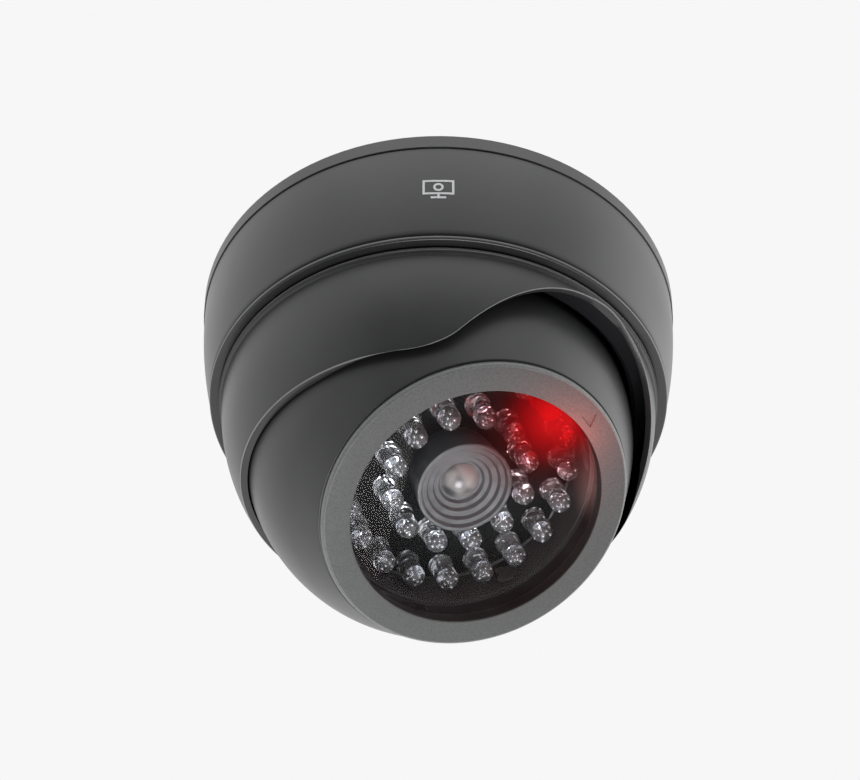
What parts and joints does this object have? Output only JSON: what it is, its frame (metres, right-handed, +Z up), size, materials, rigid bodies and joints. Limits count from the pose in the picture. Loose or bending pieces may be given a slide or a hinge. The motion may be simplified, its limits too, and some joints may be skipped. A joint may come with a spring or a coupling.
{
  "type": "imitation dome camera",
  "caption": "Ceiling-mounted imitation dome camera: round base, turning spherical cover with a viewing notch, and a tilting ball with dummy lamps and a flashing lamp.",
  "frame": {"origin": "centre of the mounting plate's ceiling face", "axes": "+Z up into the ceiling, the camera hangs along -Z, the viewing notch faces -Y"},
  "size_m": [0.1202, 0.1202, 0.0839],
  "materials": {
    "black_plastic": "smooth satin black moulded plastic",
    "grained_plastic": "fine spark-grain black moulded plastic",
    "inner_plastic": "dark unpolished plastic",
    "white_print": "thin white pad print",
    "plated_steel": "zinc plated",
    "clear_pane": "clear polished plastic pane",
    "clear_lamp": "clear glossy cast resin",
    "red_lamp": "lit red resin",
    "smoky_plastic": "cloudy grey translucent plastic",
    "lens_glass": "polished domed lens",
    "foam_rubber": "black foam",
    "cell_wrap": "printed film sleeve",
    "board_green": "solder mask",
    "chip_black": "moulded resin",
    "wire_red": "insulation",
    "wire_black": "insulation"
  },
  "bodies": {
    "plate": {"mounting_plate": "black_plastic"},
    "base": {"base_housing": "black_plastic", "base_mark": "white_print"},
    "cover": {"dome_cover": "black_plastic", "retaining_ring": "inner_plastic", "ring_screws": "plated_steel"},
    "carrier": {"ball_carrier": "inner_plastic"},
    "ball": {"ball_shell": "black_plastic", "pivot_pins": "plated_steel", "friction_washers": "plated_steel", "front_bezel": "grained_plastic", "window": "clear_pane", "window_gasket": "foam_rubber", "lamp_tray": "inner_plastic", "tray_screws": "plated_steel", "inner_lamps": "clear_lamp", "outer_lamps": "clear_lamp", "flashing_lamp": "red_lamp", "lens_barrel": "smoky_plastic", "lens_glass": "lens_glass", "battery_holder": "inner_plastic", "holder_screws": "plated_steel", "battery_1": "cell_wrap", "battery_2": "cell_wrap", "contact_springs": "plated_steel", "contact_plates": "plated_steel", "flasher_board": "board_green", "flasher_chip": "chip_black", "switch_body": "plated_steel", "wire_red": "wire_red", "wire_black": "wire_black"},
    "knob": {"switch_knob": "chip_black"}
  },
  "joints": [
    {"name": "base_twist", "type": "hinge", "parent": "plate", "child": "base", "pos_m": [0, 0, 0], "axis": [0, 0, 1], "range_deg": [0, 15.5]},
    {"name": "cover_pan", "type": "hinge", "parent": "base", "child": "cover", "pos_m": [0, 0, 0], "axis": [0, 0, 1], "continuous": true},
    {"name": "ball_swivel", "type": "hinge", "parent": "cover", "child": "carrier", "pos_m": [0, 0, 0], "axis": [0, 0, 1], "range_deg": [-5.2, 18.8]},
    {"name": "ball_tilt", "type": "hinge", "parent": "carrier", "child": "ball", "pos_m": [0, 0, -0.04], "axis": [-0.993, 0.1184, 0], "range_deg": [-24.6, 20.4]},
    {"name": "power_switch", "type": "slide", "parent": "ball", "child": "knob", "axis": [0.993, -0.1184, 0], "range_m": [0, 0.002]}
  ]
}
